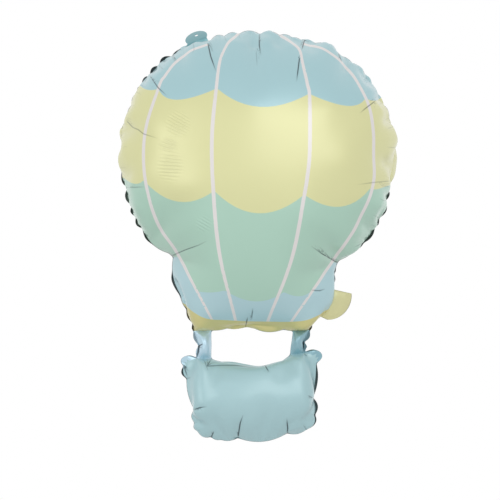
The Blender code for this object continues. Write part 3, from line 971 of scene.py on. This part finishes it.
film_place = group.nodes.new("ShaderNodeTexCoord").outputs["Object"]
cloud, grain = noise(group, film_place, 24, 3), noise(group, film_place, 90, 2)
uneven = times(math_node(group, "SUBTRACT", cloud, 0.5), feed.outputs["Cloudiness"])
rough = math_node(group, "ADD", feed.outputs["Roughness"], uneven)
# The fold lines: a dent in the bump, and the mask of painted shade that darkens the colour along each crease.
width = math_node(group, "DIVIDE", attribute(group, "crease_line"), FOLD_LINE_MM)
fall = math_node(group, "EXPONENT", times(times(width, width), -1.0))
fold = times(fall, attribute(group, "crease_depth"))
wave = math_node(group, "SINE", times(attribute(group, "ripple_phase"), 2 * math.pi))
wave = times(wave, times(attribute(group, "ripple_amount"), RIPPLE_HEIGHT))
soft = math_node(group, "MULTIPLY_ADD", grain, feed.outputs["Ripple"], wave)
height = math_node(group, "SUBTRACT", soft, fold)
for socket, value in (("Roughness", rough), ("Height", height), ("Fold", fold)):
    group.links.new(value, give.inputs[socket])
SATIN_FILM = group

# %% Node group: the printed pattern
SKY_BLUE = (0.393, 0.622, 0.665)
PALE_YELLOW = (0.738, 0.734, 0.378)
MINT = (0.430, 0.660, 0.540)
LOW_BLUE = (0.450, 0.660, 0.710)
HEM_YELLOW = (0.660, 0.615, 0.255)
CREAM = (0.790, 0.755, 0.745)
EDGE_MM = 0.25
group, _, give = new_group("balloon_print", [], [("Color", "NodeSocketColor")])
layers = PALE_YELLOW
for name, colour in (("crown", SKY_BLUE), ("middle", MINT), ("sky", LOW_BLUE), ("stripe", CREAM), ("hem", HEM_YELLOW)):
    mask = ramp(group, attribute(group, "print_" + name), -EDGE_MM, EDGE_MM)
    layers = mix_colour(group, mask, layers, colour)
group.links.new(layers, give.inputs["Color"])
BALLOON_PRINT = group


# %% Materials
FILM_METAL = 0.24
# Painted shade: the colour along the fold lines is multiplied by this.
FOLD_PAINTED_SHADE = (0.10, 0.14, 0.16)
BUMP_HEIGHT = 0.0006
COAT_ROUGHNESS = 0.26


def film_material(name, colour=None, roughness=0.42, metallic=FILM_METAL, painted_shade_and_coat=1.0, ripple=0.1):
    """Satin film. With no colour it carries the balloon's print."""
    material = bpy.data.materials.new(name)
    material.use_nodes = True
    tree = material.node_tree
    shader = tree.nodes["Principled BSDF"]
    feel = tree.nodes.new("ShaderNodeGroup")
    feel.node_tree = SATIN_FILM
    feel.inputs["Roughness"].default_value = roughness
    feel.inputs["Ripple"].default_value = ripple
    # Below 1 the shade-and-coat number darkens the colour as painted shade, for the lips' dark crescents, and it also
    # sets the coat weight. The fold lines darken the colour as painted shade too.
    if colour is None:
        print_node = tree.nodes.new("ShaderNodeGroup")
        print_node.node_tree = BALLOON_PRINT
        tone = print_node.outputs["Color"]
        if painted_shade_and_coat < 1.0:
            tone = mix_colour(tree, 1.0, tone, (painted_shade_and_coat, painted_shade_and_coat, painted_shade_and_coat), "MULTIPLY")
        tone = mix_colour(tree, feel.outputs["Fold"], tone, FOLD_PAINTED_SHADE, "MULTIPLY")
    else:
        colour = tuple(c * painted_shade_and_coat for c in colour)
        tone = mix_colour(tree, feel.outputs["Fold"], colour, tuple(c * s for c, s in zip(colour, FOLD_PAINTED_SHADE)))
    bump = tree.nodes.new("ShaderNodeBump")
    bump.inputs["Strength"].default_value = 1.0
    bump.inputs["Distance"].default_value = BUMP_HEIGHT
    tree.links.new(feel.outputs["Height"], bump.inputs["Height"])
    for word, value in (("Base Color", tone), ("Roughness", feel.outputs["Roughness"]), ("Normal", bump.outputs[0]),
                        ("Metallic", metallic), ("Coat Weight", painted_shade_and_coat), ("Coat Roughness", COAT_ROUGHNESS)):
        plug(tree, value, shader.inputs[word])
    return material


PLAIN_BLUE = (0.405, 0.620, 0.655)
# Both legs carry one printed blue; the left is painted lighter as painted light and the right darker as painted shade.
LEG_BLUES_PAINTED_LIT_AND_SHADED = {"left": (0.515, 0.725, 0.845), "right": (0.270, 0.485, 0.560)}
TAIL_YELLOW = (0.693, 0.672, 0.347)
TAB_BLUE = (0.170, 0.390, 0.430)
printed_film = film_material("printed_film")
# The lips carry the same colours as their films, darkened as painted shade: near black on the envelope and the basket,
# half as bright on the legs.
printed_lip_painted_shade = film_material("printed_lip_painted_shade", roughness=0.30, metallic=0.9, painted_shade_and_coat=0.07)
basket_film = film_material("basket_film", PLAIN_BLUE, roughness=0.50)
basket_lip_painted_shade = film_material("basket_lip_painted_shade", PLAIN_BLUE, roughness=0.30, metallic=0.9, painted_shade_and_coat=0.10)
leg_films = {side: (film_material("leg_film_" + side, blue, roughness=0.30, metallic=0.4),
                    film_material("leg_lip_painted_shade_" + side, blue, roughness=0.22, metallic=0.9, painted_shade_and_coat=0.5))
             for side, blue in LEG_BLUES_PAINTED_LIT_AND_SHADED.items()}
tail_film = film_material("tail_film", TAIL_YELLOW)
tab_film = film_material("tab_film", TAB_BLUE, roughness=0.34, metallic=0.5)
print("materials:", len(bpy.data.materials))

# %% [markdown]
# ## Cut the film into its pieces
# The envelope with its skirt, the two legs and the basket stay separate pieces, so each can move with its own
# body. They are cut along the mesh lines across the legs. The shading normals are kept from the uncut film,
# so that no cut shows.

# %% Cutting
FIELDS = ("crease_line", "crease_depth", "ripple_phase", "ripple_amount", "print_stripe", "print_crown",
          "print_middle", "print_sky", "print_hem")


def cut_piece(name, obj, zone, materials):
    """The part of a film that lies in one zone, as a piece of its own with the film's normals and fields."""
    mesh = obj.data
    co = read(mesh.vertices, "co", 3)
    zones = read(mesh.attributes["zone"].data, "value", kind=np.int32)
    slot = read(mesh.polygons, "material_index", kind=np.int32)
    normals = read(mesh.corner_normals, "vector", 3)
    kept = [p for p in mesh.polygons if zones[p.index] == zone]
    ids = np.unique(np.concatenate([list(p.vertices) for p in kept]))
    local = np.full(len(co), -1)
    local[ids] = np.arange(len(ids))
    piece_mesh = bpy.data.meshes.new(name)
    piece_mesh.from_pydata(co[ids].tolist(), [], [[int(local[v]) for v in p.vertices] for p in kept])
    piece_mesh.polygons.foreach_set("material_index", [int(slot[p.index]) for p in kept])
    for field in FIELDS:
        store(piece_mesh, field, read(mesh.attributes[field].data, "value")[ids])
    for material in materials:
        piece_mesh.materials.append(material)
    loops = np.concatenate([list(p.loop_indices) for p in kept])
    piece_mesh.shade_smooth()
    piece_mesh.normals_split_custom_set([tuple(n) for n in normals[loops]])
    return new_object(name, piece_mesh)


SHARP_SEAM = 50
pieces = {}
for word, film_object in (("front", front_film), ("back", back_film)):
    shade_below(film_object, SHARP_SEAM)
    for key, name, zone, materials in (
            ("envelope_", "envelope_film_", ENVELOPE, (printed_film, printed_lip_painted_shade)),
            ("basket_", "basket_film_", BASKET, (basket_film, basket_lip_painted_shade)),
            ("left_", "leg_film_left_", LEFT_LEG, leg_films["left"]),
            ("right_", "leg_film_right_", RIGHT_LEG, leg_films["right"])):
        pieces[key + word] = cut_piece(name + word, film_object, zone, materials)
    bpy.data.objects.remove(film_object)
print("pieces:", sorted(pieces))

# %% Hang the pieces on the frame
fold_up = Vector((-math.sin(TILT), 0, math.cos(TILT)))
FOLD_REACH = 0.005
for word in ("front", "back"):
    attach(pieces["envelope_" + word], "root")
    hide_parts("envelope_" + word, "skirt_" + word)
    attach(pieces["basket_" + word], "basket")
    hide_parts("basket_" + word)
    for side in ("left", "right"):
        leg = pieces[side + "_" + word]
        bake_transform(leg, "root", "basket", start=FOLD_POINT + fold_up * FOLD_REACH, end=FOLD_POINT - fold_up * FOLD_REACH)
        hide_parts(f"rope_{side}_upper_{word}", f"rope_{side}_lower_{word}")

# %% [markdown]
# ## The filling tail
# The balloon is filled through a flat tube of the same film on the right of the neck. Its two films are welded
# all round, so it has a thin flat border and a slightly puffed middle. It starts between the films of the neck,
# and it curls backwards. One sheet is a grid, bent into place, and its twin behind it is welded to the border.

# %% The filling tail
TAIL_LENGTH = 0.0337
TAIL_HALF = 0.0220
TAIL_ROOT = 0.008
TAIL_BORDER = 0.0028
TAIL_RIPPLE = 0.0003
TAIL_CURL = 0.008
TAIL_PUFF = 0.0016
TAIL_GAP = 0.0001
tail_start, tail_up = map(Vector, joint_frame("tail_fold"))
tail_out = Vector((tail_up.z, 0, -tail_up.x))


def tail_place(u, v):
    """Flat place of a grid point: u runs out from -1 in the neck to 1 at the end, v across from -1 to 1."""
    end = TAIL_LENGTH * math.sqrt(1 - ((v - 0.35) / 1.42) ** 2)
    run = u * end if u > 0 else u * TAIL_ROOT
    outward = max(u, 0)
    return run, v * (TAIL_HALF + 0.0027 * outward) + 0.0021 * outward


def tail_spine(run, across):
    """How far back the middle of the tail lies: it curls backwards, with faint waves."""
    share = max(run, 0) / TAIL_LENGTH
    return TAIL_CURL * share ** 2 + TAIL_RIPPLE * share * math.sin(run * 420 + across * 60)


bpy.ops.mesh.primitive_grid_add(x_subdivisions=44, y_subdivisions=40, size=2)
tail = bpy.context.object
tail.name = "filling_tail"
flat_tail = [tail_place(vert.co.x, vert.co.y) for vert in tail.data.vertices]
border = [tail_place(-1, v) for v in np.linspace(-1, 1, 20)] + [tail_place(u, 1) for u in np.linspace(-1, 1, 30)]
border += [tail_place(1, v) for v in np.linspace(1, -1, 40)] + [tail_place(u, -1) for u in np.linspace(1, -1, 30)]
to_border = np.abs(chain_distance(np.array(flat_tail), border)[0])
for vert, (run, across), inset in zip(tail.data.vertices, flat_tail, to_border):
    share = max(run, 0) / TAIL_LENGTH
    puff = TAIL_PUFF * (1 - math.exp(-max(inset - TAIL_BORDER, 0) / 0.004)) * (1 - 0.5 * share)
    puff *= min(max(run / 0.010, 0), 1)
    puff = 0 if inset < 1e-5 else puff + TAIL_GAP
    vert.co = tail_start + tail_out * run + tail_up * across + Vector((0, tail_spine(run, across) - puff, 0))
print("tail faces:", len(tail.data.polygons))

# %% Weld the twin sheet on
bpy.ops.object.mode_set(mode="EDIT")
bpy.ops.mesh.select_all(action="SELECT")
bpy.ops.mesh.duplicate()
bpy.ops.mesh.flip_normals()
bpy.ops.object.mode_set(mode="OBJECT")
for i, (run, across) in enumerate(flat_tail):
    vert = tail.data.vertices[len(flat_tail) + i]
    vert.co.y = 2 * tail_spine(run, across) - vert.co.y
bpy.ops.object.mode_set(mode="EDIT")
bpy.ops.mesh.select_all(action="SELECT")
bpy.ops.mesh.remove_doubles(threshold=0.00002)
bpy.ops.mesh.normals_make_consistent(inside=False)
bpy.ops.object.mode_set(mode="OBJECT")
bpy.ops.object.shade_smooth()
tail.data.materials.append(tail_film)
print("tail points:", len(tail.data.vertices))

# %% [markdown]
# ## The hanging tab
# A thread can be tied to a round tab on the upper left of the seam. It is the lip of both films, left wide
# there, with a punched hole. It leans back from the seam, so from the front it looks low and wide.

# %% The hanging tab
TAB_HEAD = Vector((0.0018, 0.0103))
TAB_RADIUS = 0.0168
TAB_HOLE = Vector((0.0033, 0.0146))
TAB_HOLE_RADIUS = 0.0025
TAB_LEAN = math.radians(57)
TAB_DISH = 0.0012
TAB_THICKNESS = 0.0007
TAB_EDGE_CLEAR, TAB_HOLE_CLEAR = 0.0008, 0.0006
tab_start, tab_along = map(Vector, joint_frame("tab_fold"))
tab_up = Vector((-tab_along.z, 0, tab_along.x))
tab_lean = tab_up * math.cos(TAB_LEAN) + Vector((0, math.sin(TAB_LEAN), 0))


def circle(centre, radius, start, sweep, steps):
    angles = [math.radians(start + sweep * i / steps) for i in range(steps + 1)]
    return [centre + radius * Vector((math.cos(a), math.sin(a))) for a in angles]


tab_outline = [Vector((0.0165, -0.0055))] + circle(TAB_HEAD, TAB_RADIUS, -34, 238, 60)
tab_outline += [Vector((-0.0150, 0.0010)), Vector((-0.0200, -0.0022)), Vector((-0.0240, -0.0055))]
hole = circle(TAB_HOLE, TAB_HOLE_RADIUS, 0, 360, 24)[:-1]
grid = [Vector((x * MM, z * MM)) for x in range(-24, 20, 2) for z in range(-5, 27, 2)]
edge_ring, hole_ring, grid_points = table(tab_outline), table(hole), table(grid)
roomy = np.abs(chain_distance(grid_points, tab_outline + tab_outline[:1])[0]) > TAB_EDGE_CLEAR
roomy &= np.abs(chain_distance(grid_points, hole + hole[:1])[0]) > TAB_HOLE_CLEAR
roomy &= inside(edge_ring, grid_points) & ~inside(hole_ring, grid_points)
tab_points = tab_outline + hole + [p for p, keep in zip(grid, roomy) if keep]
tab_edges = ring_pairs(len(tab_outline)) + ring_pairs(len(hole), len(tab_outline))
flat_tab, _, tab_faces, _, _, _ = delaunay_2d_cdt(tab_points, tab_edges, [], 0, 1e-7)
middles = table(sum((flat_tab[i] for i in face), Vector((0, 0))) / 3 for face in tab_faces)
wanted = inside(edge_ring, middles) & ~inside(hole_ring, middles)
tab_faces = [face for face, keep in zip(tab_faces, wanted) if keep]


def tab_place(point):
    """The tab leans back above its fold, and is a little dished."""
    toward = tab_lean if point.y > 0 else tab_up
    off = point - TAB_HEAD
    dish = TAB_DISH * max(0.0, 1 - (off.length / TAB_RADIUS) ** 2) if point.y > 0 else 0
    normal = tab_along.cross(tab_lean)
    return tab_start + tab_along * point.x + toward * point.y + normal * dish


tab_mesh = bpy.data.meshes.new("hanging_tab_film")
tab_mesh.from_pydata([tab_place(p) for p in flat_tab], [], tab_faces)
tab = new_object("hanging_tab_film", tab_mesh)
thick = tab.modifiers.new("Solidify", "SOLIDIFY")
thick.thickness = TAB_THICKNESS
thick.offset = 0
apply_modifier(tab, thick)
shade_below(tab, 40)
tab.data.materials.append(tab_film)
print("tab faces:", len(tab.data.polygons))

# %% Fold lines of the tail and the tab
SHORT_FOLD = 0.0025
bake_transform(tail, "root", "filling_tail", start=tail_start - tail_out * SHORT_FOLD, end=tail_start + tail_out * SHORT_FOLD)
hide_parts("tail_front", "tail_back")
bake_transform(tab, "root", "hanging_tab", start=tab_start - tab_up * 0.001, end=tab_start + tab_up * 0.002)
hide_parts("hanging_tab")

# %% [markdown]
# ## Stage, light and camera
# A white floor, one large soft light in front, a little up and to the right, a weaker one further to the left,
# and white all around. The photograph was taken from far away, almost without perspective, so the camera stands
# back and uses a long lens. It is rolled a little, as the balloon hangs a little askew in the picture.

# %% Stage
FLOOR_Z = -0.75
bpy.ops.mesh.primitive_plane_add(size=3.0, location=(0, 0, FLOOR_Z))
floor = bpy.context.object
floor.name = "studio_floor"
floor_material = bpy.data.materials.new("studio_white")
floor_material.use_nodes = True
floor_shader = floor_material.node_tree.nodes["Principled BSDF"]
floor_shader.inputs["Base Color"].default_value = (0.76, 0.76, 0.76, 1)
floor_shader.inputs["Roughness"].default_value = 0.9
floor.data.materials.append(floor_material)

# %% Lights
world = bpy.data.worlds.new("studio")
bpy.context.scene.world = world
world.use_nodes = True
tree = world.node_tree
sky = tree.nodes["Background"]
sky.inputs["Color"].default_value = (1, 1, 1, 1)
way = tree.nodes.new("ShaderNodeTexCoord")
parts = tree.nodes.new("ShaderNodeSeparateXYZ")
tree.links.new(way.outputs["Generated"], parts.inputs["Vector"])
tree.links.new(ramp(tree, parts.outputs["Y"], -0.5, 0.9, 0.74, 0.93), sky.inputs["Strength"])
seen = tree.nodes.new("ShaderNodeBackground")
seen.inputs["Color"].default_value = (1, 1, 1, 1)
seen.inputs["Strength"].default_value = 1.0
ray = tree.nodes.new("ShaderNodeLightPath")
both = tree.nodes.new("ShaderNodeMixShader")
tree.links.new(ray.outputs["Is Camera Ray"], both.inputs["Fac"])
tree.links.new(sky.outputs["Background"], both.inputs[1])
tree.links.new(seen.outputs["Background"], both.inputs[2])
tree.links.new(both.outputs["Shader"], tree.nodes["World Output"].inputs["Surface"])


def soft_light(name, place, size, power):
    light = bpy.data.lights.new(name, "AREA")
    light.shape = "SQUARE"
    light.size = size
    light.energy = power
    lamp = new_object(name, light)
    lamp.location = place
    lamp.rotation_mode = "QUATERNION"
    lamp.rotation_quaternion = (Vector((0, 0, -0.05)) - Vector(place)).to_track_quat("-Z", "Y")


soft_light("key_light", (0.46, -1.9, 0.56), 1.2, 6.8)
soft_light("fill_light", (-1.5, -1.6, 0.1), 1.2, 5)

# %% Camera
VIEW_WIDTH = 0.7375
ROLL = math.radians(-2)
camera_data = bpy.data.cameras.new("camera")
camera = new_object("camera", camera_data)
camera.location = EYE
camera.rotation_mode = "XYZ"
camera.rotation_euler = (math.radians(90), ROLL, AZIMUTH)
camera_data.sensor_width = 36
camera_data.lens = 36 * VIEW_DISTANCE / VIEW_WIDTH
camera_data.clip_end = 50
bpy.context.scene.camera = camera
bpy.context.scene.view_settings.view_transform = "Standard"
